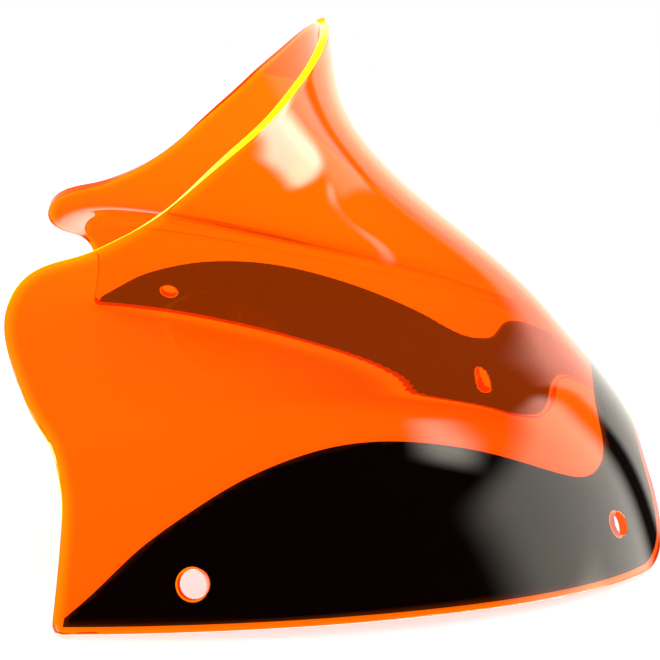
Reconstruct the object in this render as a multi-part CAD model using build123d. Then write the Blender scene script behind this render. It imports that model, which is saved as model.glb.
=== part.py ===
"""Windshield screen for a motorcycle fairing: one formed acrylic sheet and its printed border.

X runs across the screen, -Y is forward and Z is up. The screen stands on its foot edge,
and the origin is at the middle of its footprint on that plane.
"""
import os
from math import asin, cos, pi, radians, sin

from build123d import *

# ---- overall sizes (mm) ----
TIP_SPAN = 560.0        # across the two rear tips of the foot
REACH = 350.0           # rear tips to where the nose, carried down, meets the foot plane
LIP_HEIGHT = 244.0      # foot plane to the top of the lip

# ---- sheet, holes and edges (mm) ----
SHEET = 4.5             # thickness of the acrylic
HOLE_RADIUS = 6.0       # all four fixing holes
OUTER_HOLE_HEIGHT = 19.5
OUTER_HOLE_ANGLE = 10.8     # degrees round the section, 0 at the rear and 90 at the nose
INNER_HOLE_HEIGHT = 24.5
INNER_HOLE_ANGLE = 55.3
FOOT_LENGTH = 300.0     # rear tips to the front corners that the screen also stands on
FOOT_LIFT = 5.0         # how far the foot edge bows off the plane, half way along
TIP_RADIUS = 4.0        # round of the rear tips

# ---- arch of the foot edge at the nose (mm) ----
ARCH_HEIGHT = 57.0
ARCH_SPAN = 310.0       # between the points where the arch leaves the foot line
ARCH_START = 0.7        # the arch only cuts the nose, this share of the reach forward and on

# ---- printed border (mm) ----
PRINT_THICKNESS = 0.2
PRINT_INSET = 3.0       # bare strip left between the print and the foot edge
PRINT_HOLE_MARGIN = 1.2     # bare ring round each fixing hole

# ---- the mould's sections, from below the foot to above the lip ----
# height % of the lip, nose % of the reach, half width % of half the span,
# centre % of the reach, narrowing of the shoulders, dip of the crease at the rear in mm
SECTIONS = [
    (-16.4, 104.9, 105.4, -3.4, 0.02, 0.0),
    (-6.1, 102.0, 102.5, -3.4, 0.02, 0.0),
    (4.1, 98.6, 97.1, -3.4, 0.03, 0.0),
    (14.3, 94.6, 92.5, -3.4, 0.05, 0.0),
    (23.8, 89.7, 87.9, -5.7, 0.06, 8.0),
    (31.1, 84.3, 84.3, -9.7, 0.06, 24.0),
    (36.1, 80.0, 82.5, -12.0, 0.06, 33.0),
    (39.8, 76.6, 67.9, -12.6, 0.06, 24.0),
    (44.7, 72.6, 50.7, -11.4, 0.05, 8.0),
    (51.6, 65.7, 43.9, -7.4, 0.04, 0.0),
    (59.4, 56.0, 42.9, -2.3, 0.02, 0.0),
    (67.6, 46.0, 40.4, 1.1, 0.0, 0.0),
    (75.8, 38.6, 44.3, 1.7, 0.0, 0.0),
    (82.8, 34.3, 50.4, -2.9, 0.0, 0.0),
    (89.3, 32.3, 58.2, -11.4, 0.0, 0.0),
    (95.9, 31.1, 61.8, -17.1, 0.0, 0.0),
    (103.3, 28.9, 64.6, -20.6, 0.0, 0.0),
    (111.5, 26.0, 67.9, -22.9, 0.0, 0.0),
]
DIP_SPREAD = 0.08       # how far forward the crease's dip reaches, as a share of the section

# ---- the cut line seen from the side: forward % of the reach, height % of the lip ----
REAR_EDGE = [
    (0.0, 0.0),
    (-0.1, 6.2),
    (-0.4, 14.3),
    (-0.9, 18.9),
    (-1.9, 22.5),
    (-3.3, 25.9),
    (-5.9, 29.0),
    (-8.8, 32.2),
    (-10.8, 36.1),
    (-11.1, 40.2),
    (-9.9, 43.9),
    (-7.2, 46.9),
    (-2.9, 49.4),
    (1.1, 52.5),
    (6.3, 57.8),
    (11.4, 65.2),
    (16.3, 73.0),
    (20.6, 80.3),
    (23.7, 86.5),
    (26.6, 92.4),
    (28.2, 96.3),
    (29.4, 99.6),
    (29.9, 101.2),
]

# ---- the arch seen from the front: out % of half its span, height % of its top ----
ARCH_LINE = [
    (108.0, -3.0), (96.0, -0.5), (88.0, 1.0), (80.0, 6.0), (72.0, 15.5), (65.0, 31.5),
    (60.0, 48.0), (56.5, 61.5), (50.5, 77.0), (42.0, 88.5), (27.0, 95.5), (0.0, 100.0),
]

# ---- the print's upper line: degrees round the section, height % of the lip ----
PRINT_LINE = [
    (2.6, 2.4),
    (4.3, 6.2),
    (7.1, 12.5),
    (11.2, 18.4),
    (15.7, 23.0),
    (20.5, 26.2),
    (25.5, 28.2),
    (30.7, 28.7),
    (35.0, 28.0),
    (39.8, 26.3),
    (45.0, 23.4),
    (49.5, 20.7),
    (53.2, 19.5),
    (56.6, 20.4),
    (59.4, 22.4),
    (62.2, 25.8),
    (66.0, 29.8),
    (71.0, 32.6),
    (77.0, 34.2),
    (83.0, 34.9),
    (90.0, 35.1),
]

LAST = len(SECTIONS) - 3        # the mould's height runs from station 0 to this one
EDGE_STEPS = 240                # points that follow a cut line
SHEET_COLUMNS = 48              # over one half of the sheet
SHEET_ROWS = 24
PRINT_COLUMNS = 90              # over one half of the print
PRINT_ROWS = 12
SKIN_TOLERANCE = 0.04           # mm between a skin and the mould
STEP = 1e-4                     # for slopes


def weights(f):
    """The four weights of a uniform cubic B-spline, a share f along its span."""
    return (
        (1 - f) ** 3 / 6,
        (3 * f**3 - 6 * f**2 + 4) / 6,
        (-3 * f**3 + 3 * f**2 + 3 * f + 1) / 6,
        f**3 / 6,
    )


def section(station):
    """Height, nose, half width, centre, narrowing and dip at a station of the mould, in mm."""
    first = max(0, min(int(station), LAST - 1))
    share = weights(station - first)
    rows = SECTIONS[first:first + 4]
    height, nose, half, centre, narrow, dip = (
        sum(w * row[i] for w, row in zip(share, rows)) for i in range(6)
    )
    return (
        height / 100 * LIP_HEIGHT,
        nose / 100 * REACH,
        half / 100 * TIP_SPAN / 2,
        centre / 100 * REACH,
        narrow,
        dip,
    )


def mould(station, angle):
    """A point on the sheet's outer face; angle 0 is the left rear, pi / 2 the nose."""
    height, nose, half, centre, narrow, dip = section(station)
    s = sin(angle)
    c = cos(angle)
    across = half * c * (1 - narrow * (2 * s * c) ** 2)
    forward = centre + (nose - centre) * s
    return Vector(-across, -forward, height - dip / (1 + (s / DIP_SPREAD) ** 2))


def slopes(station, angle):
    """How the outer face moves with the station and with the angle."""
    low = max(station - STEP, 0.0)
    high = min(station + STEP, LAST)
    up = (mould(high, angle) - mould(low, angle)) / (high - low)
    round_ = (mould(station, angle + STEP) - mould(station, angle - STEP)) / (2 * STEP)
    return up, round_


def outward(station, angle):
    """The outer face's normal, away from the hollow."""
    up, round_ = slopes(station, angle)
    return round_.cross(up).normalized()


def inset_point(station, angle, depth):
    """A point a depth inside the outer face."""
    return mould(station, angle) - outward(station, angle) * depth


def bisect(falls_short, low, high):
    """Where a test that holds below a value stops holding."""
    while high - low > 1e-7:
        middle = (low + high) / 2
        if falls_short(middle):
            low = middle
        else:
            high = middle
    return (low + high) / 2


def station_at(height, angle):
    """The station where the outer face has this height, at this angle."""
    return bisect(lambda station: mould(station, angle).Z < height, 0.0, float(LAST))


def thick_patch(grid, outer_depth, inner_depth):
    """A closed solid between two depths; grid holds rows of (station, angle)."""
    skins = []
    for depth in (outer_depth, inner_depth):
        points = [[inset_point(s, a, depth) for s, a in row] for row in grid]
        skins.append(Face.make_surface_from_array_of_points(points, tol=SKIN_TOLERANCE, min_deg=3))
    outer, inner = skins
    walls = []
    for edge in outer.edges():
        mate = min(inner.edges(), key=lambda other: (other.center() - edge.center()).length)
        walls.append(Face.make_surface_from_curves(edge, mate))
    return Solid(Shell([outer, inner, *walls]))


def both_halves(rows):
    """Rows on the left half of the mould, carried on over the nose and down the right."""
    return [row + [(station, pi - angle) for station, angle in reversed(row[:-1])] for row in rows]


def angle_at(forward, station):
    """The angle where the left half of a section has come this far forward."""
    nose, centre = section(station)[1], section(station)[3]
    return asin(max(-1.0, min(1.0, (forward - centre) / (nose - centre))))


def place_on_mould(forward, height):
    """Station and angle of the point of the mould that the side view shows here."""
    station = bisect(lambda s: mould(s, angle_at(forward, s)).Z < height, 0.0, float(LAST))
    return station, angle_at(forward, station)


def rear_places():
    """The rear edge as places on the mould: up from the tip, round the ear and along the lip."""
    line = Spline(*[Vector(f / 100 * REACH, h / 100 * LIP_HEIGHT) for f, h in REAR_EDGE])
    points = [line @ (i / EDGE_STEPS) for i in range(EDGE_STEPS + 1)]
    return [place_on_mould(point.X, point.Y) for point in points]


def arch_heights():
    """The arch seen from the front, from the middle outwards: (across, height) pairs."""
    half = [(out / 100 * ARCH_SPAN / 2, height / 100 * ARCH_HEIGHT) for out, height in ARCH_LINE]
    line = Spline(*[Vector(*p) for p in half], *[Vector(-out, height) for out, height in half[-2::-1]])
    points = [line @ (0.5 * i / EDGE_STEPS) for i in range(EDGE_STEPS, -1, -1)]
    return [(point.X, point.Y) for point in points]


def foot_height(point, arch):
    """Height of the cut foot edge at a point of the mould."""
    share = max(0.0, min(1.0, -point.Y / FOOT_LENGTH))
    foot = 4 * FOOT_LIFT * share * (1 - share)
    across = abs(point.X)
    if -point.Y < ARCH_START * REACH or across > arch[-1][0]:
        return foot
    for inner, outer in zip(arch, arch[1:]):
        if across <= outer[0]:
            part = (across - inner[0]) / (outer[0] - inner[0])
            return max(foot, inner[1] + part * (outer[1] - inner[1]))
    return foot


def foot_station(angle, arch):
    """The station where the foot edge crosses this angle."""

    def below_foot(station):
        point = mould(station, angle)
        return point.Z < foot_height(point, arch)

    return bisect(below_foot, 0.0, LAST / 2)


def evenly(places, steps):
    """The same line on the mould, as places evenly spaced along it."""
    points = [mould(*place) for place in places]
    runs = [0.0]
    for first, second in zip(points, points[1:]):
        runs.append(runs[-1] + (second - first).length)
    even = []
    at = 0
    for i in range(steps + 1):
        target = runs[-1] * i / steps
        while at < len(places) - 2 and runs[at + 1] < target:
            at += 1
        part = (target - runs[at]) / (runs[at + 1] - runs[at])
        even.append(tuple(a + part * (b - a) for a, b in zip(places[at], places[at + 1])))
    return even


def cut_grid(arch):
    """Rows of places from the foot edge up to the lip, on the left half, that end on the cut line."""
    rear = rear_places()
    ear = min(range(len(rear)), key=lambda i: -mould(*rear[i]).Y)
    tip_angle = rear[0][1]
    turn = (pi / 2 - tip_angle) / EDGE_STEPS
    foot_angles = [tip_angle + turn * i for i in range(EDGE_STEPS + 1)]
    foot = [(foot_station(angle, arch), angle) for angle in foot_angles]
    bottom = evenly(foot, SHEET_COLUMNS)
    top = evenly(rear[ear:], SHEET_COLUMNS)
    left = evenly(rear[:ear + 1], SHEET_ROWS)
    right = evenly([bottom[-1], top[-1]], SHEET_ROWS)
    grid = []
    for i in range(SHEET_ROWS + 1):
        v = i / SHEET_ROWS
        row = []
        for j in range(SHEET_COLUMNS + 1):
            u = j / SHEET_COLUMNS
            row.append(tuple(
                (1 - v) * bottom[j][k] + v * top[j][k] + (1 - u) * left[i][k] + u * right[i][k]
                - (1 - v) * ((1 - u) * bottom[0][k] + u * bottom[-1][k])
                - v * ((1 - u) * top[0][k] + u * top[-1][k])
                for k in (0, 1)
            ))
        grid.append(row)
    return grid


def make_sheet(arch):
    """The formed sheet, its edges cut square to it and its rear tips rounded."""
    sheet = thick_patch(both_halves(cut_grid(arch)), 0.0, SHEET)
    corners = sheet.edges().filter_by(lambda edge: edge.length < 2 * SHEET)
    return sheet.fillet(TIP_RADIUS, corners.sort_by(Axis.Z)[:2])


def make_drill(height, angle, radius):
    """A cylinder through the sheet, square to it at a height and an angle round the section."""
    station = station_at(height, angle)
    axis = outward(station, angle)
    start = mould(station, angle) - axis * 3 * SHEET
    return Solid.make_cylinder(radius, 6 * SHEET, Plane(start, z_dir=axis))


def make_drills(radius):
    """The four fixing holes as solids to be cut out."""
    drills = []
    holes = ((OUTER_HOLE_HEIGHT, OUTER_HOLE_ANGLE), (INNER_HOLE_HEIGHT, INNER_HOLE_ANGLE))
    for height, degrees in holes:
        for angle in (radians(degrees), pi - radians(degrees)):
            drills.append(make_drill(height, angle, radius))
    return drills


def inset_from_foot(angle, arch):
    """Station and angle of the print's lower line, a strip's width in from the foot edge."""
    nudge = radians(0.5)
    before = foot_station(angle - nudge, arch)
    after = foot_station(angle + nudge, arch)
    here = foot_station(angle, arch)
    along = mould(after, angle + nudge) - mould(before, angle - nudge)
    up, round_ = slopes(here, angle)
    inwards = up.cross(round_).cross(along).normalized() * -PRINT_INSET
    # the inward step, split into a move up the mould and a move round it
    uu, ur, rr = up.dot(up), up.dot(round_), round_.dot(round_)
    iu, ir = inwards.dot(up), inwards.dot(round_)
    spread = uu * rr - ur * ur
    return here + (iu * rr - ir * ur) / spread, angle + (ir * uu - iu * ur) / spread


def make_print_blank(arch):
    """The printed border before its holes: a thin skin on the sheet's inner face."""
    crest = Spline(*[Vector(degrees, height) for degrees, height in PRINT_LINE])
    first, last = PRINT_LINE[0][0], PRINT_LINE[-1][0]
    columns = []
    for i in range(PRINT_COLUMNS + 1):
        degrees = first + (last - first) * i / PRINT_COLUMNS
        angle = radians(degrees)
        share = bisect(lambda t: (crest @ t).X < degrees, 0.0, 1.0)
        height = (crest @ share).Y / 100 * LIP_HEIGHT
        columns.append((inset_from_foot(angle, arch), (station_at(height, angle), angle)))
    grid = []
    for i in range(PRINT_ROWS + 1):
        share = i / PRINT_ROWS
        grid.append([
            tuple(low + share * (high - low) for low, high in zip(*column)) for column in columns
        ])
    return thick_patch(both_halves(grid), SHEET, SHEET + PRINT_THICKNESS)


def main():
    """Build both pieces, move the origin to the middle of the footprint and write them."""
    arch = arch_heights()
    screen = make_sheet(arch)
    border_print = make_print_blank(arch)
    for drill in make_drills(HOLE_RADIUS):
        screen -= drill
    for drill in make_drills(HOLE_RADIUS + PRINT_HOLE_MARGIN):
        border_print -= drill
    box = screen.bounding_box()
    home = Pos(0, -(box.min.Y + box.max.Y) / 2, -box.min.Z)
    os.makedirs("parts", exist_ok=True)
    for name, piece in (("screen", screen), ("border_print", border_print)):
        piece = home * piece.solids()[0]
        print(name, piece.is_valid, round(piece.volume), piece.bounding_box())
        export_step(piece, f"parts/{name}.step")
    print("moved back by", home.position)


if __name__ == "__main__":
    main()
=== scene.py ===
"""Windshield screen for a motorcycle fairing: a formed sheet of fluorescent orange acrylic with
polished cut edges, four bare fixing holes and a gloss black border printed on its inner face.

Metres. X runs across the screen, -Y is forward, Z is up and the screen stands on its foot edge.
"""

import math

import bpy
import numpy as np
from mathutils import Matrix, Vector


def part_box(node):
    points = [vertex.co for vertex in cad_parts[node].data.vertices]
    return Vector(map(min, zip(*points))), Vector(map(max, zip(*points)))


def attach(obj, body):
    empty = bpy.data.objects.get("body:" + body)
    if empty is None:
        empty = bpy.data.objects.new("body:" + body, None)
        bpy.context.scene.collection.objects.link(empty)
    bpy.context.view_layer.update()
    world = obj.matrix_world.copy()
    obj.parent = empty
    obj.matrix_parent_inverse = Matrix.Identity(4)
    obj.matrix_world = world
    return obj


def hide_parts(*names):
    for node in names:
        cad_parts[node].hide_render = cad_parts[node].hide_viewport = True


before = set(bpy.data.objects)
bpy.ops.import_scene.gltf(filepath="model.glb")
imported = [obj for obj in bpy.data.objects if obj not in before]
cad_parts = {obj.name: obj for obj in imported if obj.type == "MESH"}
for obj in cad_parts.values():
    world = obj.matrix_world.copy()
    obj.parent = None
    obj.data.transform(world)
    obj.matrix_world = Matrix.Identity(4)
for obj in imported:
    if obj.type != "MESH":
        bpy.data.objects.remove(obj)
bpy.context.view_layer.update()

# ---- overall sizes of the mould ----
TIP_SPAN = 0.560        # across the two rear tips of the foot
REACH = 0.350           # rear tips to where the nose, carried down, meets the foot plane
LIP_HEIGHT = 0.244      # foot plane to the top of the lip

# ---- sheet, edges and holes ----
SHEET = 0.0045
POLISH = 0.00035        # radius of the flame-polished corners of the cut edges
POLISH_STEPS = 3
HOLE_RADIUS = 0.006
HOLES = ((0.0195, 10.8), (0.0245, 55.3))    # height, and degrees round the section from the rear
TIP_RADIUS = 0.004

# ---- foot edge ----
FOOT_LENGTH = 0.300
FOOT_LIFT = 0.005
ARCH_HEIGHT = 0.057
ARCH_SPAN = 0.310
ARCH_START = 0.7        # share of the reach from which the arch cuts the foot edge

# ---- printed border ----
PRINT_INSET = 0.003
PRINT_THICKNESS = 0.0002
PRINT_HOLE_MARGIN = 0.0012
PRINT_BOND = 0.00003    # how far the ink is keyed into the acrylic

# ---- fineness of the meshes ----
SHEET_COLUMNS = 130     # over one half of the sheet
SHEET_ROWS = 84
PRINT_COLUMNS = 150
PRINT_ROWS = 26
LINE_STEPS = 600        # points that follow a cut line
HOLE_RINGS = 6
HOLE_CLEARING = 1.7     # how far the rings reach, in hole radii
PRINT_SOFTNESS = 0.1    # stations over which the painted glow fades at the print

# ---- the mould's sections, from below the foot to above the lip ----
# height % of the lip, nose % of the reach, half width % of half the span,
# centre % of the reach, narrowing of the shoulders, dip of the crease at the rear in mm
SECTIONS = np.array([
    (-16.4, 104.9, 105.4, -3.4, 0.02, 0.0),
    (-6.1, 102.0, 102.5, -3.4, 0.02, 0.0),
    (4.1, 98.6, 97.1, -3.4, 0.03, 0.0),
    (14.3, 94.6, 92.5, -3.4, 0.05, 0.0),
    (23.8, 89.7, 87.9, -5.7, 0.06, 8.0),
    (31.1, 84.3, 84.3, -9.7, 0.06, 24.0),
    (36.1, 80.0, 82.5, -12.0, 0.06, 33.0),
    (39.8, 76.6, 67.9, -12.6, 0.06, 24.0),
    (44.7, 72.6, 50.7, -11.4, 0.05, 8.0),
    (51.6, 65.7, 43.9, -7.4, 0.04, 0.0),
    (59.4, 56.0, 42.9, -2.3, 0.02, 0.0),
    (67.6, 46.0, 40.4, 1.1, 0.0, 0.0),
    (75.8, 38.6, 44.3, 1.7, 0.0, 0.0),
    (82.8, 34.3, 50.4, -2.9, 0.0, 0.0),
    (89.3, 32.3, 58.2, -11.4, 0.0, 0.0),
    (95.9, 31.1, 61.8, -17.1, 0.0, 0.0),
    (103.3, 28.9, 64.6, -20.6, 0.0, 0.0),
    (111.5, 26.0, 67.9, -22.9, 0.0, 0.0),
])
SECTION_UNITS = np.array([
    LIP_HEIGHT / 100, REACH / 100, TIP_SPAN / 200, REACH / 100, 1.0, 0.001,
])
DIP_SPREAD = 0.08       # how far forward the crease's dip reaches, as a share of the section
LAST = len(SECTIONS) - 3

# ---- the cut line seen from the side: forward % of the reach, height % of the lip ----
REAR_EDGE = [
    (0.0, 0.0), (-0.1, 6.2), (-0.4, 14.3), (-0.9, 18.9), (-1.9, 22.5), (-3.3, 25.9),
    (-5.9, 29.0), (-8.8, 32.2), (-10.8, 36.1), (-11.1, 40.2), (-9.9, 43.9), (-7.2, 46.9),
    (-2.9, 49.4), (1.1, 52.5), (6.3, 57.8), (11.4, 65.2), (16.3, 73.0), (20.6, 80.3),
    (23.7, 86.5), (26.6, 92.4), (28.2, 96.3), (29.4, 99.6), (29.9, 101.2),
]

# ---- the arch seen from the front: out % of half its span, height % of its top ----
ARCH_LINE = [
    (108.0, -3.0), (96.0, -0.5), (88.0, 1.0), (80.0, 6.0), (72.0, 15.5), (65.0, 31.5),
    (60.0, 48.0), (56.5, 61.5), (50.5, 77.0), (42.0, 88.5), (27.0, 95.5), (0.0, 100.0),
]

# ---- the print's upper line: degrees round the section, height % of the lip ----
PRINT_LINE = [
    (2.6, 2.4), (4.3, 6.2), (7.1, 12.5), (11.2, 18.4), (15.7, 23.0), (20.5, 26.2),
    (25.5, 28.2), (30.7, 28.7), (35.0, 28.0), (39.8, 26.3), (45.0, 23.4), (49.5, 20.7),
    (53.2, 19.5), (56.6, 20.4), (59.4, 22.4), (62.2, 25.8), (66.0, 29.8), (71.0, 32.6),
    (77.0, 34.2), (83.0, 34.9), (90.0, 35.1),
]


# ======== the mould ========

def section(station):
    """Height, nose, half width, centre, narrowing and dip at stations of the mould."""
    station = np.asarray(station, float)
    first = np.clip(station.astype(int), 0, LAST - 1)
    f = (station - first)[..., None]
    return SECTION_UNITS * (
        (1 - f) ** 3 / 6 * SECTIONS[first]
        + (3 * f**3 - 6 * f**2 + 4) / 6 * SECTIONS[first + 1]
        + (-3 * f**3 + 3 * f**2 + 3 * f + 1) / 6 * SECTIONS[first + 2]
        + f**3 / 6 * SECTIONS[first + 3]
    )


def mould(place):
    """Points on the sheet's outer face; a place is a station and an angle, 0 at the left rear."""
    height, nose, half, centre, narrow, dip = np.moveaxis(section(place[..., 0]), -1, 0)
    s = np.sin(place[..., 1])
    c = np.cos(place[..., 1])
    across = half * c * (1 - narrow * (2 * s * c) ** 2)
    forward = centre + (nose - centre) * s
    return np.stack([-across, -forward, height - dip / (1 + (s / DIP_SPREAD) ** 2)], -1)


def outward(place):
    """The outer face's normals, away from the hollow."""
    step = 1e-4
    up = mould(place + (step, 0)) - mould(place - (step, 0))
    around = mould(place + (0, step)) - mould(place - (0, step))
    normal = np.cross(around, up)
    return normal / np.linalg.norm(normal, axis=-1, keepdims=True)


def bisect(falls_short, low, high):
    """Where a test that holds below a value stops holding, for many values at once."""
    for _ in range(40):
        middle = (low + high) / 2
        short = falls_short(middle)
        low = np.where(short, middle, low)
        high = np.where(short, high, middle)
    return (low + high) / 2


def place_on_mould(forward, height):
    """Places on the left half that the side view shows at these points."""
    def angle_at(station):
        values = section(station)
        share = (forward - values[..., 3]) / (values[..., 1] - values[..., 3])
        return np.arcsin(np.clip(share, -1, 1))

    def falls_short(station):
        return mould(np.stack([station, angle_at(station)], -1))[..., 2] < height

    station = bisect(falls_short, np.zeros_like(height), np.full_like(height, LAST))
    return np.stack([station, angle_at(station)], -1)


def station_at(height, angle):
    """Stations where the outer face has these heights, at these angles."""
    def falls_short(station):
        return mould(np.stack([station, angle], -1))[..., 2] < height

    return bisect(falls_short, np.zeros_like(angle), np.full_like(angle, LAST))


def smooth_line(points, count):
    """Points along the natural cubic spline through a few points, by chord length."""
    points = np.array(points, float)
    knots = np.r_[0, np.cumsum(np.linalg.norm(np.diff(points, axis=0), axis=1))]
    gaps = np.diff(knots)
    matrix = np.eye(len(points))
    right = np.zeros_like(points)
    for i in range(1, len(points) - 1):
        matrix[i, i - 1:i + 2] = gaps[i - 1] / 6, (gaps[i - 1] + gaps[i]) / 3, gaps[i] / 6
        right[i] = (points[i + 1] - points[i]) / gaps[i] - (points[i] - points[i - 1]) / gaps[i - 1]
    bend = np.linalg.solve(matrix, right)
    along = np.linspace(0, knots[-1], count)
    i = np.clip(np.searchsorted(knots, along, side="right") - 1, 0, len(gaps) - 1)
    gap = gaps[i][:, None]
    after = (along - knots[i])[:, None]
    before = gap - after
    return (
        (bend[i] * before**3 + bend[i + 1] * after**3) / (6 * gap)
        + (points[i] / gap - bend[i] * gap / 6) * before
        + (points[i + 1] / gap - bend[i + 1] * gap / 6) * after
    )


# ======== cut lines on the mould ========

def arch_line():
    """The arch seen from the front, from the middle outwards."""
    half = [(out / 200 * ARCH_SPAN, height / 100 * ARCH_HEIGHT) for out, height in ARCH_LINE]
    whole = half + [(-out, height) for out, height in half[-2::-1]]
    line = smooth_line(whole, 2 * LINE_STEPS + 1)
    return line[LINE_STEPS::-1]


def foot_station(angle, arch):
    """Stations where the foot edge crosses these angles."""
    def below_foot(station):
        point = mould(np.stack([station, angle], -1))
        share = np.clip(-point[..., 1] / FOOT_LENGTH, 0, 1)
        foot = 4 * FOOT_LIFT * share * (1 - share)
        over = np.interp(np.abs(point[..., 0]), arch[:, 0], arch[:, 1], right=-1)
        under_arch = -point[..., 1] >= ARCH_START * REACH
        return point[..., 2] < np.where(under_arch, np.maximum(foot, over), foot)

    return bisect(below_foot, np.zeros_like(angle), np.full_like(angle, LAST / 2))


def evenly(places):
    """A line on the mould as a function of the share of its length."""
    runs = np.r_[0, np.cumsum(np.linalg.norm(np.diff(mould(places), axis=0), axis=1))]

    def at(share):
        return np.stack([np.interp(share * runs[-1], runs, places[:, k]) for k in (0, 1)], -1)

    return at


def cut_sides():
    """The four sides of the left half: foot, lip edge, rear edge and nose line."""
    rear = smooth_line([(f / 100 * REACH, h / 100 * LIP_HEIGHT) for f, h in REAR_EDGE], LINE_STEPS)
    rear = rear[rear[:, 1] > TIP_RADIUS]
    turn = np.linspace(0, math.pi / 2, 41)[:, None]
    tip = TIP_RADIUS * (1 - np.concatenate([np.sin(turn), np.cos(turn)], 1))
    tip = tip + (rear[0, 0], 0)
    tip_places = place_on_mould(tip[:, 0], tip[:, 1])
    angles = np.linspace(tip_places[0, 1], math.pi / 2, LINE_STEPS)
    foot = np.stack([foot_station(angles, arch_line()), angles], -1)
    rear_places = place_on_mould(rear[:, 0], rear[:, 1])
    ear = np.argmax(mould(rear_places)[:, 1])
    half = len(tip) // 2
    bottom = np.concatenate([tip_places[half::-1], foot[1:]])
    left = np.concatenate([tip_places[half:], rear_places[:ear + 1]])
    top = rear_places[ear:]
    right = np.linspace(bottom[-1], top[-1], LINE_STEPS)
    return bottom, top, left, right


def fine_steps(count):
    """Even shares from 0 to 1, with one more close to each end for a crisp edge."""
    close = 0.2 / count
    return np.r_[0, close, np.arange(1, count) / count, 1]


def both_halves(rows):
    """Rows of places on the left half, carried on over the nose and down the right."""
    mirrored = rows[:, -2::-1] * (1, -1) + (0, math.pi)
    return np.concatenate([rows, mirrored], 1)


def sheet_places():
    """Rows of places from the foot edge up to the lip that end on the cut line."""
    bottom, top, left, right = (evenly(side) for side in cut_sides())
    u = fine_steps(SHEET_COLUMNS)[None, :]
    v = fine_steps(SHEET_ROWS + 1)[:, None]
    low, high, rear, nose = bottom(u), top(u), left(v), right(v)
    u = u[..., None]
    v = v[..., None]
    rows = (
        (1 - v) * low + v * high + (1 - u) * rear + u * nose
        - (1 - v) * ((1 - u) * low[:, :1] + u * low[:, -1:])
        - v * ((1 - u) * high[:, :1] + u * high[:, -1:])
    )
    return both_halves(rows)


def print_places():
    """Rows of places from the print's lower line, a strip in from the foot, to its upper line."""
    upper = smooth_line(PRINT_LINE, LINE_STEPS)
    degrees = np.linspace(PRINT_LINE[0][0], PRINT_LINE[-1][0], PRINT_COLUMNS + 1)
    angle = np.radians(degrees)
    height = np.interp(degrees, upper[:, 0], upper[:, 1]) / 100 * LIP_HEIGHT
    crest = np.stack([station_at(height, angle), angle], -1)
    arch = arch_line()
    nudge = math.radians(0.5)
    foot = [np.stack([foot_station(angle + d, arch), angle + d], -1) for d in (-nudge, 0, nudge)]
    along = mould(foot[2]) - mould(foot[0])
    inwards = np.cross(outward(foot[1]), along)
    inwards *= PRINT_INSET / np.linalg.norm(inwards, axis=-1, keepdims=True)
    lower = moved(foot[1], inwards)
    v = fine_steps(PRINT_ROWS)[:, None, None]
    return both_halves((1 - v) * lower + v * crest)


def moved(place, step):
    """Places a step away from others, the step lying in the sheet."""
    small = 1e-4
    up = (mould(place + (small, 0)) - mould(place - (small, 0))) / (2 * small)
    around = (mould(place + (0, small)) - mould(place - (0, small))) / (2 * small)
    uu, ua, aa = (up * up).sum(-1), (up * around).sum(-1), (around * around).sum(-1)
    su, sa = (step * up).sum(-1), (step * around).sum(-1)
    spread = uu * aa - ua * ua
    return place + np.stack([(su * aa - sa * ua) / spread, (sa * uu - su * ua) / spread], -1)


# ======== faces, with the fixing holes let in ========

def hole_places():
    """The four fixing holes' centres as places."""
    centres = []
    for height, degrees in HOLES:
        for angle in (math.radians(degrees), math.pi - math.radians(degrees)):
            station = station_at(np.array([height]), np.array([angle]))[0]
            centres.append(np.array([station, angle]))
    return centres


def circle_places(centre, radius, bearings):
    """Places on a circle about a hole's axis, at bearings measured in the sheet's plane."""
    middle = mould(centre)
    axis = outward(centre)
    side = np.cross(axis, (0.0, 0.0, 1.0))
    side /= np.linalg.norm(side)
    rise = np.cross(side, axis)
    ring = middle + radius * (np.cos(bearings)[:, None] * side + np.sin(bearings)[:, None] * rise)
    places = np.repeat(centre[None], len(bearings), 0)
    for _ in range(6):
        miss = ring - mould(places)
        miss -= (miss @ axis)[:, None] * axis
        places = moved(places, miss)
    return places


def bearings_of(centre, places):
    """Bearings of places about a hole's axis."""
    axis = outward(centre)
    side = np.cross(axis, (0.0, 0.0, 1.0))
    side /= np.linalg.norm(side)
    rise = np.cross(side, axis)
    away = mould(places) - mould(centre)
    return np.arctan2(away @ rise, away @ side)


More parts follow.
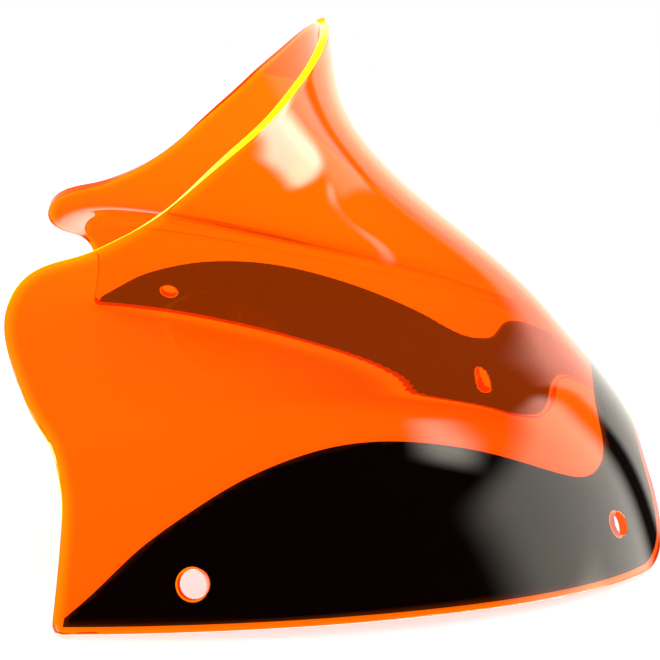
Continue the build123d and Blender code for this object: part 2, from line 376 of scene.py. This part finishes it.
def punched(rows, radius):
    """Places and faces of a patch with its fixing holes: rings run from each hole to the rows."""
    count_v, count_u = rows.shape[:2]
    index = np.arange(count_v * count_u).reshape(count_v, count_u)
    kept = np.ones((count_v - 1, count_u - 1), bool)
    places = [rows.reshape(-1, 2)]
    total = count_v * count_u
    faces = []
    points = mould(rows)
    for centre in hole_places():
        near = np.linalg.norm(points - mould(centre), axis=-1) < HOLE_CLEARING * radius
        i0, i1 = np.flatnonzero(near.any(1))[[0, -1]] + (-1, 1)
        j0, j1 = np.flatnonzero(near.any(0))[[0, -1]] + (-1, 1)
        kept[i0:i1, j0:j1] = False
        loop = np.r_[index[i0, j0:j1], index[i0:i1, j1], index[i1, j1:j0:-1], index[i1:i0:-1, j0]]
        outer = places[0][loop]
        inner = circle_places(centre, radius, bearings_of(centre, outer))
        rings = [loop]
        for k in range(HOLE_RINGS):
            share = 1 - (k + 1) / HOLE_RINGS
            ring = inner + share * (outer - inner)
            places.append(ring)
            rings.append(total + np.arange(len(loop)))
            total += len(loop)
        for outside, inside in zip(rings, rings[1:]):
            faces.append(np.stack([outside, np.roll(outside, -1), np.roll(inside, -1), inside], 1))
    i, j = np.nonzero(kept)
    faces.append(np.stack([index[i, j], index[i, j + 1], index[i + 1, j + 1], index[i + 1, j]], 1))
    faces = np.concatenate(faces)
    used, faces = np.unique(faces, return_inverse=True)
    return np.concatenate(places)[used], faces.reshape(-1, 4)


def inwards_from_border(points, normals, faces):
    """At each border point the direction into the sheet, in its plane; nothing elsewhere."""
    starts = faces.ravel()
    ends = np.roll(faces, -1, axis=1).ravel()
    known = set(zip(ends.tolist(), starts.tolist()))
    along = np.zeros_like(points)
    for a, b in zip(starts.tolist(), ends.tolist()):
        if (a, b) not in known:
            step = points[b] - points[a]
            step /= np.linalg.norm(step)
            along[a] += step
            along[b] += step
    inwards = np.cross(normals, along)
    length = np.linalg.norm(inwards, axis=1, keepdims=True)
    return np.divide(inwards, length, out=np.zeros_like(inwards), where=length > 0)


def border_distance(points, inwards):
    """How far each point is from the nearest border point."""
    border = points[np.linalg.norm(inwards, axis=1) > 0]
    distance = np.empty(len(points))
    for start in range(0, len(points), 2000):
        block = points[start:start + 2000, None, :] - border[None]
        distance[start:start + 2000] = np.sqrt((block * block).sum(-1).min(1))
    return distance


def clear_of_print(places, print_rows):
    """1 on the bare sheet and 0 over the print, with a soft border."""
    half = print_rows[:, :PRINT_COLUMNS + 1]
    angle = np.minimum(places[:, 1], math.pi - places[:, 1])
    low, high = (np.interp(angle, row[:, 1], row[:, 0]) for row in (half[0], half[-1]))
    over = np.minimum(places[:, 0] - low, high - places[:, 0]) / PRINT_SOFTNESS
    return 1 - np.clip(over + 0.5, 0, 1) * (angle > half[:, 0, 1].min())


def skin(name, rows, radius, depth, home, print_rows):
    """A mesh of one face of the sheet at a depth, with what the node tree needs to make it solid."""
    places, faces = punched(rows, radius)
    normals = outward(places)
    surface = mould(places)
    inwards = inwards_from_border(surface, normals, faces)
    points = surface - normals * depth + home
    mesh = bpy.data.meshes.new(name)
    mesh.from_pydata(points.tolist(), [], faces.tolist())
    for label, values in (("outward", normals), ("inwards", inwards)):
        mesh.attributes.new(label, "FLOAT_VECTOR", "POINT").data.foreach_set("vector", values.ravel())
    foot = np.stack([foot_station(places[:, 1], arch_line()), places[:, 1]], -1)
    above = surface[:, 2] - mould(foot)[:, 2]
    for label, values in (
        ("from_edge", border_distance(surface, inwards)),
        ("above_foot", above),
        ("clear_of_print", clear_of_print(places, print_rows)),
    ):
        mesh.attributes.new(label, "FLOAT", "POINT").data.foreach_set("value", values)
    return mesh


# ======== from a skin to a solid piece ========

def node(tree, kind, inputs=(), **settings):
    """Adds a node, sets its properties, and links or sets its inputs."""
    made = tree.nodes.new(kind)
    for name, value in settings.items():
        setattr(made, name, value)
    for key, value in dict(inputs).items():
        if isinstance(value, bpy.types.NodeSocket):
            tree.links.new(value, made.inputs[key])
        else:
            made.inputs[key].default_value = value
    return made


def edge_profile():
    """The cut edge's outline: distance into the sheet over the polish radius, and two depths.

    The first depth is in polish radii, the second in sheet thicknesses.
    """
    turns = [math.pi / 2 * k / POLISH_STEPS for k in range(POLISH_STEPS + 1)]
    front = [(1 - math.sin(turn), 1 - math.cos(turn), 0.0) for turn in turns]
    back = [(into, -depth, 1.0) for into, depth, _ in reversed(front)]
    return front + [(0.0, 0.0, 1 / 3), (0.0, 0.0, 2 / 3)] + back


def solid_tree():
    """Node tree that gives a skin its thickness and a rounded, polished edge all round."""
    tree = bpy.data.node_groups.new("solid from skin", "GeometryNodeTree")
    tree.interface.new_socket("Skin", in_out="INPUT", socket_type="NodeSocketGeometry")
    tree.interface.new_socket("Thickness", in_out="INPUT", socket_type="NodeSocketFloat")
    tree.interface.new_socket("Polish", in_out="INPUT", socket_type="NodeSocketFloat")
    for side in ("Front", "Back", "Edge"):
        tree.interface.new_socket(side, in_out="INPUT", socket_type="NodeSocketMaterial")
    tree.interface.new_socket("Solid", in_out="OUTPUT", socket_type="NodeSocketGeometry")
    given = tree.nodes.new("NodeGroupInput").outputs
    normal = node(tree, "GeometryNodeInputNamedAttribute", {0: "outward"}, data_type="FLOAT_VECTOR")
    inwards = node(tree, "GeometryNodeInputNamedAttribute", {0: "inwards"}, data_type="FLOAT_VECTOR")

    def scaled(vector, scale):
        return node(tree, "ShaderNodeVectorMath", {0: vector, 3: scale}, operation="SCALE").outputs[0]

    def times(value, factor):
        return node(tree, "ShaderNodeMath", {0: value, 1: factor}, operation="MULTIPLY").outputs[0]

    def step(into, depth_in_polish, depth_in_sheet):
        """The offset vector of one step of the edge's outline."""
        polish = node(tree, "ShaderNodeMath", {
            0: times(given["Polish"], depth_in_polish), 1: times(given["Thickness"], depth_in_sheet),
        }, operation="ADD").outputs[0]
        sideways = scaled(inwards.outputs[0], times(given["Polish"], into))
        deeper = scaled(normal.outputs[0], times(polish, -1.0))
        return node(tree, "ShaderNodeVectorMath", {0: sideways, 1: deeper}).outputs[0]

    front = node(tree, "GeometryNodeSetPosition", {
        "Geometry": given["Skin"], "Offset": scaled(inwards.outputs[0], given["Polish"]),
    })
    back = node(tree, "GeometryNodeSetPosition", {
        "Geometry": front.outputs[0], "Offset": scaled(normal.outputs[0], times(given["Thickness"], -1.0)),
    })
    back = node(tree, "GeometryNodeFlipFaces", {"Mesh": back.outputs[0]})
    back = node(tree, "GeometryNodeSetMaterial", {"Geometry": back.outputs[0], "Material": given["Back"]})
    walls = node(tree, "GeometryNodeSetMaterial", {"Geometry": front.outputs[0], "Material": given["Front"]})
    beside = node(tree, "GeometryNodeInputMeshEdgeNeighbors")
    chosen = node(
        tree, "FunctionNodeCompare", {2: beside.outputs[0], 3: 1}, data_type="INT", operation="EQUAL",
    ).outputs[0]
    shape = walls.outputs[0]
    sides = None
    profile = edge_profile()
    for here, after in zip(profile, profile[1:]):
        drawn = node(tree, "GeometryNodeExtrudeMesh", {
            "Mesh": shape, "Selection": chosen, "Offset Scale": 0.0,
        }, mode="EDGES")
        chosen, side = drawn.outputs["Top"], drawn.outputs["Side"]
        shape = node(tree, "GeometryNodeSetPosition", {
            "Geometry": drawn.outputs[0], "Selection": chosen,
            "Offset": step(*(b - a for a, b in zip(here, after))),
        }).outputs[0]
        if sides is None:
            sides = side
        else:
            sides = node(tree, "FunctionNodeBooleanMath", {0: sides, 1: side}, operation="OR").outputs[0]
    joined = node(tree, "GeometryNodeJoinGeometry")
    tree.links.new(shape, joined.inputs[0])
    tree.links.new(back.outputs[0], joined.inputs[0])
    closed = node(tree, "GeometryNodeMergeByDistance", {"Geometry": joined.outputs[0], "Distance": 2e-6})
    smooth = node(tree, "GeometryNodeSetShadeSmooth", {"Geometry": closed.outputs[0]})
    real = node(tree, "GeometryNodeRealizeInstances", {"Geometry": smooth.outputs[0]})
    finished = node(tree, "GeometryNodeSetMaterial", {
        "Geometry": real.outputs[0], "Selection": sides, "Material": given["Edge"],
    })
    result = tree.nodes.new("NodeGroupOutput")
    tree.links.new(finished.outputs[0], result.inputs[0])
    return tree


def solid_piece(name, mesh, tree, **inputs):
    """The piece that the node tree makes of a skin, as a plain mesh at the origin."""
    holder = bpy.data.objects.new(name + "_skin", mesh)
    bpy.context.scene.collection.objects.link(holder)
    modifier = holder.modifiers.new("solid", "NODES")
    modifier.node_group = tree
    for item in tree.interface.items_tree:
        if item.in_out == "INPUT" and item.name in inputs:
            modifier[item.identifier] = inputs[item.name]
    graph = bpy.context.evaluated_depsgraph_get()
    solid = bpy.data.meshes.new_from_object(
        holder.evaluated_get(graph), preserve_all_data_layers=True, depsgraph=graph,
    )
    bpy.data.objects.remove(holder)
    bpy.data.meshes.remove(mesh)
    for label in ("outward", "inwards"):
        solid.attributes.remove(solid.attributes[label])
    solid.name = name
    piece = bpy.data.objects.new(name, solid)
    bpy.context.scene.collection.objects.link(piece)
    return piece


# ======== materials ========

def new_material(name):
    """A material with an empty tree but for its output and a principled shader."""
    material = bpy.data.materials.new(name)
    material.use_nodes = True
    tree = material.node_tree
    shader = tree.nodes["Principled BSDF"]
    return material, tree, shader


def cloudy(tree, scale, detail=2.0):
    """A soft noise on object coordinates, as a value round a half."""
    where = node(tree, "ShaderNodeTexCoord")
    return node(tree, "ShaderNodeTexNoise", {
        "Vector": where.outputs["Object"], "Scale": scale, "Detail": detail,
    }).outputs[0]


def between(tree, value, low, high, start=0.0, end=1.0, smooth=False):
    """A value carried from one range to another, kept inside it."""
    return node(tree, "ShaderNodeMapRange", {
        0: value, 1: start, 2: end, 3: low, 4: high,
    }, interpolation_type="SMOOTHSTEP" if smooth else "LINEAR").outputs[0]


def blended(tree, share, first, second):
    """One colour turning into another."""
    mixed = node(tree, "ShaderNodeMix", {"Factor": share}, data_type="RGBA")
    for socket, colour in ((mixed.inputs[6], first), (mixed.inputs[7], second)):
        if isinstance(colour, bpy.types.NodeSocket):
            tree.links.new(colour, socket)
        else:
            socket.default_value = (*colour, 1.0)
    return mixed.outputs[2]


def attribute(tree, label):
    """A named attribute of the mesh as a value."""
    return node(tree, "ShaderNodeAttribute", attribute_name=label).outputs["Fac"]


SHEET_BEND = 1.25       # refraction that keeps the far side in place when seen through the sheet
SHEET_GLOSS = 1.0
PAINTED_SHEET_GLOW = 0.11       # painted glow of the bare sheet, standing for its fluorescence


def orange_acrylic():
    """Fluorescent clear acrylic: orange through the sheet, with a lighter painted edge glow within a few mm
    of a cut.

    The dye takes out nearly all it can in one pass, so a second layer hardly deepens the colour.
    It has a painted glow where light would reach it from both sides, which it doesn't over the print.
    """
    material, tree, shader = new_material("orange_acrylic")
    # Painted shade: the sheet is painted a deeper orange towards the foot, where shade falls behind it, and
    # lighter higher up.
    height = node(tree, "ShaderNodeSeparateXYZ", {0: node(tree, "ShaderNodeTexCoord").outputs["Object"]})
    upper = between(tree, height.outputs[2], 0.0, 1.0, 0.04, 0.22, smooth=True)
    shaded_low_orange = blended(tree, cloudy(tree, 6.0), (1.0, 0.075, 0.0005), (1.0, 0.092, 0.001))
    lit_high_orange = blended(tree, cloudy(tree, 6.0), (1.0, 0.130, 0.001), (1.0, 0.155, 0.002))
    body = blended(tree, upper, shaded_low_orange, lit_high_orange)
    # Painted glow: the colour turns lighter within a few mm of a cut, for light leaving the cut edges.
    painted_glow_near_cut = between(tree, attribute(tree, "from_edge"), 0.7, 0.0, 0.0, 0.006, smooth=True)
    body = blended(tree, painted_glow_near_cut, body, (1.0, 0.27, 0.002))
    passes = node(tree, "ShaderNodeLightPath").outputs["Transmission Depth"]
    later = between(tree, passes, 0.0, 1.0, 1.0, 2.0)
    tree.links.new(blended(tree, later, body, (1.0, 0.82, 0.30)), shader.inputs["Base Color"])
    # Painted glow: a fixed emission on the bare sheet, fading out over the print.
    glow = between(tree, attribute(tree, "clear_of_print"), 0.0, PAINTED_SHEET_GLOW)
    tree.links.new(glow, shader.inputs["Emission Strength"])
    shader.inputs["Emission Color"].default_value = (1.0, 0.16, 0.0, 1.0)
    tree.links.new(between(tree, cloudy(tree, 40.0, 4.0), 0.004, 0.018), shader.inputs["Roughness"])
    shader.inputs["Transmission Weight"].default_value = 1.0
    shader.inputs["IOR"].default_value = SHEET_BEND
    shader.inputs["Specular IOR Level"].default_value = SHEET_GLOSS
    return material


def glowing_edge():
    """Cut edge: a painted glow stands for the light trapped in the sheet leaving here.

    It is painted yellow and brighter on the lamps' side, and orange at the foot and on the far side.
    """
    material, tree, shader = new_material("glowing_edge")
    # Painted light: the edge glows and turns yellow where it faces the lamps, away from the foot.
    rise = between(tree, attribute(tree, "above_foot"), 0.0, 1.0, 0.028, 0.055, smooth=True)
    place = node(tree, "ShaderNodeSeparateXYZ", {0: node(tree, "ShaderNodeTexCoord").outputs["Object"]})
    lamp_side = between(tree, place.outputs[0], 1.0, 0.0, -0.02, 0.03, smooth=True)
    rise = node(tree, "ShaderNodeMath", {0: rise, 1: lamp_side}, operation="MULTIPLY").outputs[0]
    yellow = blended(tree, cloudy(tree, 90.0, 3.0), (1.0, 0.80, 0.0), (1.0, 0.90, 0.01))
    orange = blended(tree, cloudy(tree, 60.0, 3.0), (0.90, 0.10, 0.012), (1.0, 0.15, 0.015))
    colour = blended(tree, rise, orange, yellow)
    tree.links.new(colour, shader.inputs["Base Color"])
    tree.links.new(colour, shader.inputs["Emission Color"])
    tree.links.new(between(tree, rise, 0.25, 0.55), shader.inputs["Emission Strength"])
    tree.links.new(between(tree, cloudy(tree, 300.0, 3.0), 0.08, 0.2), shader.inputs["Roughness"])
    shader.inputs["IOR"].default_value = 1.49
    shader.inputs["Specular IOR Level"].default_value = 0.15
    return material


def print_face():
    """The ink as seen through the acrylic it is bonded to: black, with no gloss of its own."""
    material, tree, shader = new_material("print_face")
    ink = blended(tree, cloudy(tree, 30.0, 4.0), (0.0015, 0.0008, 0.0004), (0.004, 0.002, 0.001))
    tree.links.new(ink, shader.inputs["Base Color"])
    shader.inputs["Roughness"].default_value = 0.6
    shader.inputs["Specular IOR Level"].default_value = 0.0
    return material


def print_back():
    """The ink's own face on the inside of the screen: satin black with a fine screen-print grain."""
    material, tree, shader = new_material("print_back")
    ink = blended(tree, cloudy(tree, 45.0, 5.0), (0.020, 0.017, 0.015), (0.034, 0.030, 0.026))
    tree.links.new(ink, shader.inputs["Base Color"])
    tree.links.new(between(tree, cloudy(tree, 220.0, 3.0), 0.22, 0.38), shader.inputs["Roughness"])
    bump = node(tree, "ShaderNodeBump", {
        "Height": cloudy(tree, 2500.0, 2.0), "Strength": 0.06, "Distance": 0.00005,
    })
    tree.links.new(bump.outputs[0], shader.inputs["Normal"])
    return material


# ======== studio ========

FLOOR_GLOW = 0.55       # the floor is a light table
DIM_ROOM = 0.04
SOFTBOX_COLOUR = (1.0, 0.94, 0.84)
# left, right, low and high sides, each (degrees, softness); bearings count from the front
SOFTBOXES = (
    ((-34, 12), (2, 20), (-26, 16), (13, 9), 44.0),     # tall box beyond the nose
    ((-8, 12), (27, 8), (-60, 10), (31.5, 5), 5.2),     # its spill
    ((37, 5), (165, 20), (-45, 10), (30, 10), 2.0),     # white wall across from the camera
)


def floor():
    """A plain pale floor."""
    half = 6.0
    mesh = bpy.data.meshes.new("floor")
    corners = [(-half, -half), (half, -half), (half, half), (-half, half)]
    mesh.from_pydata([(x, y, -0.0003) for x, y in corners], [], [(0, 1, 2, 3)])
    material, tree, shader = new_material("pale_floor")
    pale = blended(tree, cloudy(tree, 2.0), (0.93, 0.93, 0.93), (0.96, 0.96, 0.96))
    tree.links.new(pale, shader.inputs["Base Color"])
    tree.links.new(pale, shader.inputs["Emission Color"])
    shader.inputs["Emission Strength"].default_value = FLOOR_GLOW
    shader.inputs["Roughness"].default_value = 0.9
    shader.inputs["Specular IOR Level"].default_value = 0.0
    mesh.materials.append(material)
    made = bpy.data.objects.new("floor", mesh)
    bpy.context.scene.collection.objects.link(made)
    made.visible_glossy = False


def softbox(tree, bearing, height, left, right, low, high, strength):
    """Light from a soft-edged window of the sky; each side is (degrees, softness in degrees)."""
    share = 1.0
    for angle, (edge, soft), rising in (
        (bearing, left, True), (bearing, right, False), (height, low, True), (height, high, False),
    ):
        start, end = math.radians(edge - soft / 2), math.radians(edge + soft / 2)
        ends = (0.0, 1.0) if rising else (1.0, 0.0)
        side = between(tree, angle, *ends, start, end, smooth=True)
        share = node(tree, "ShaderNodeMath", {0: share, 1: side}, operation="MULTIPLY").outputs[0]
    return node(tree, "ShaderNodeMath", {0: share, 1: strength}, operation="MULTIPLY").outputs[0]


def studio_light():
    """White all round; reflections see a dim room with softboxes and a white wall instead."""
    world = bpy.data.worlds.new("studio")
    bpy.context.scene.world = world
    world.use_nodes = True
    tree = world.node_tree
    direction = node(tree, "ShaderNodeTexCoord").outputs["Generated"]
    axes = node(tree, "ShaderNodeSeparateXYZ", {0: direction})
    forward = node(tree, "ShaderNodeMath", {0: axes.outputs[1], 1: -1.0}, operation="MULTIPLY")
    bearing = node(
        tree, "ShaderNodeMath", {0: axes.outputs[0], 1: forward.outputs[0]}, operation="ARCTAN2",
    ).outputs[0]
    height = node(tree, "ShaderNodeMath", {0: axes.outputs[2]}, operation="ARCSINE").outputs[0]
    light = DIM_ROOM
    for box in SOFTBOXES:
        part = softbox(tree, bearing, height, *box)
        light = node(tree, "ShaderNodeMath", {0: light, 1: part}, operation="ADD").outputs[0]
    path = node(tree, "ShaderNodeLightPath")
    mirrored = between(tree, path.outputs["Glossy Depth"], 0.0, 1.0)
    colour = node(tree, "ShaderNodeVectorMath", {0: SOFTBOX_COLOUR, 3: light}, operation="SCALE").outputs[0]
    seen = blended(tree, mirrored, (1.0, 1.0, 1.0), colour)
    lit = blended(tree, path.outputs["Is Diffuse Ray"], seen, (1.0, 1.0, 1.0))
    tree.links.new(lit, tree.nodes["Background"].inputs[0])


# the strip lamp, level with the upper spill and close in front of the near side
LAMP_CENTRE = (-0.212, -0.50, 0.445)
LAMP_SIZE = (0.20, 0.10)
LAMP_SLOPE = -58        # degrees
LAMP_STRENGTH = 13.0


def small_lamp():
    """A soft-edged strip lamp in front of the near side that only shows as a reflection."""
    slope = math.radians(LAMP_SLOPE)
    along = Vector((math.cos(slope), 0, math.sin(slope)))
    across = Vector((-math.sin(slope), 0, math.cos(slope)))
    centre = Vector(LAMP_CENTRE)
    sides = (along * LAMP_SIZE[0] / 2, across * LAMP_SIZE[1] / 2)
    mesh = bpy.data.meshes.new("small_lamp")
    corners = [centre + i * sides[0] + j * sides[1] for i, j in ((-1, -1), (1, -1), (1, 1), (-1, 1))]
    mesh.from_pydata(corners, [], [(0, 1, 2, 3)])
    material, tree, shader = new_material("small_lamp")
    place = node(tree, "ShaderNodeTexCoord").outputs["Object"]
    off = node(tree, "ShaderNodeVectorMath", {0: place, 1: centre}, operation="SUBTRACT").outputs[0]
    share = 1.0
    for way in sides:
        unit = way / way.length_squared
        part = node(tree, "ShaderNodeVectorMath", {0: off, 1: unit}, operation="DOT_PRODUCT")
        part = node(tree, "ShaderNodeMath", {0: part.outputs["Value"]}, operation="ABSOLUTE").outputs[0]
        side = between(tree, part, 1.0, 0.0, 0.1, 1.0, smooth=True)
        share = node(tree, "ShaderNodeMath", {0: share, 1: side}, operation="MULTIPLY").outputs[0]
    shader.inputs["Base Color"].default_value = (0.0, 0.0, 0.0, 1.0)
    shader.inputs["Emission Color"].default_value = (*SOFTBOX_COLOUR, 1.0)
    shader.inputs["Emission Strength"].default_value = LAMP_STRENGTH
    shader.inputs["Specular IOR Level"].default_value = 0.0
    tree.links.new(share, shader.inputs["Alpha"])
    mesh.materials.append(material)
    made = bpy.data.objects.new("small_lamp", mesh)
    bpy.context.scene.collection.objects.link(made)
    made.visible_camera = False
    made.visible_diffuse = False
    made.visible_transmission = False
    made.visible_shadow = False


# ---- camera ----
CAMERA_PLACE = Vector((-0.7854, 0.1356, 0.2494))
CAMERA_BACK = Vector((-0.963, 0.164, 0.215))
CAMERA_RIGHT = Vector((-0.130, -0.978, 0.162))
CAMERA_LENS = 76.36


def camera():
    """The camera, level with the lip, beside and a little behind the screen."""
    made = bpy.data.objects.new("camera", bpy.data.cameras.new("camera"))
    bpy.context.scene.collection.objects.link(made)
    back = CAMERA_BACK.normalized()
    up = back.cross(CAMERA_RIGHT).normalized()
    right = up.cross(back)
    turn = Matrix((right, up, back)).transposed().to_4x4()
    made.matrix_world = Matrix.Translation(CAMERA_PLACE) @ turn
    made.data.lens = CAMERA_LENS
    made.data.sensor_width = 36.0
    bpy.context.scene.camera = made


# ======== the object ========

def home_shift(rows):
    """From the mould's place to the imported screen's: mid footprint, standing on the floor."""
    places = rows.reshape(-1, 2)
    outer = mould(places)
    inner = outer - outward(places) * SHEET
    both = np.concatenate([outer, inner])
    low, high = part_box("screen")
    return np.array([0, (low.y + high.y) / 2, low.z]) - [
        0, (both[:, 1].min() + both[:, 1].max()) / 2, both[:, 2].min(),
    ]


def build():
    """The screen and its printed border."""
    rows = sheet_places()
    print_rows = print_places()
    home = home_shift(rows)
    tree = solid_tree()
    acrylic = orange_acrylic()
    screen = solid_piece(
        "formed_screen", skin("formed_screen", rows, HOLE_RADIUS, 0.0, home, print_rows), tree,
        Thickness=SHEET, Polish=POLISH, Front=acrylic, Back=acrylic, Edge=glowing_edge(),
    )
    back = print_back()
    relief = HOLE_RADIUS + PRINT_HOLE_MARGIN
    border = solid_piece(
        "printed_border",
        skin("printed_border", print_rows, relief, SHEET - PRINT_BOND, home, print_rows), tree,
        Thickness=PRINT_THICKNESS + PRINT_BOND, Polish=0.0, Front=print_face(), Back=back, Edge=back,
    )
    for piece, cad_node, slot in ((screen, "screen", "sheet"), (border, "border_print", "print")):
        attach(piece, "root")
        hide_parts(cad_node)


build()
floor()
studio_light()
small_lamp()
camera()
bpy.context.scene.view_settings.view_transform = "Standard"
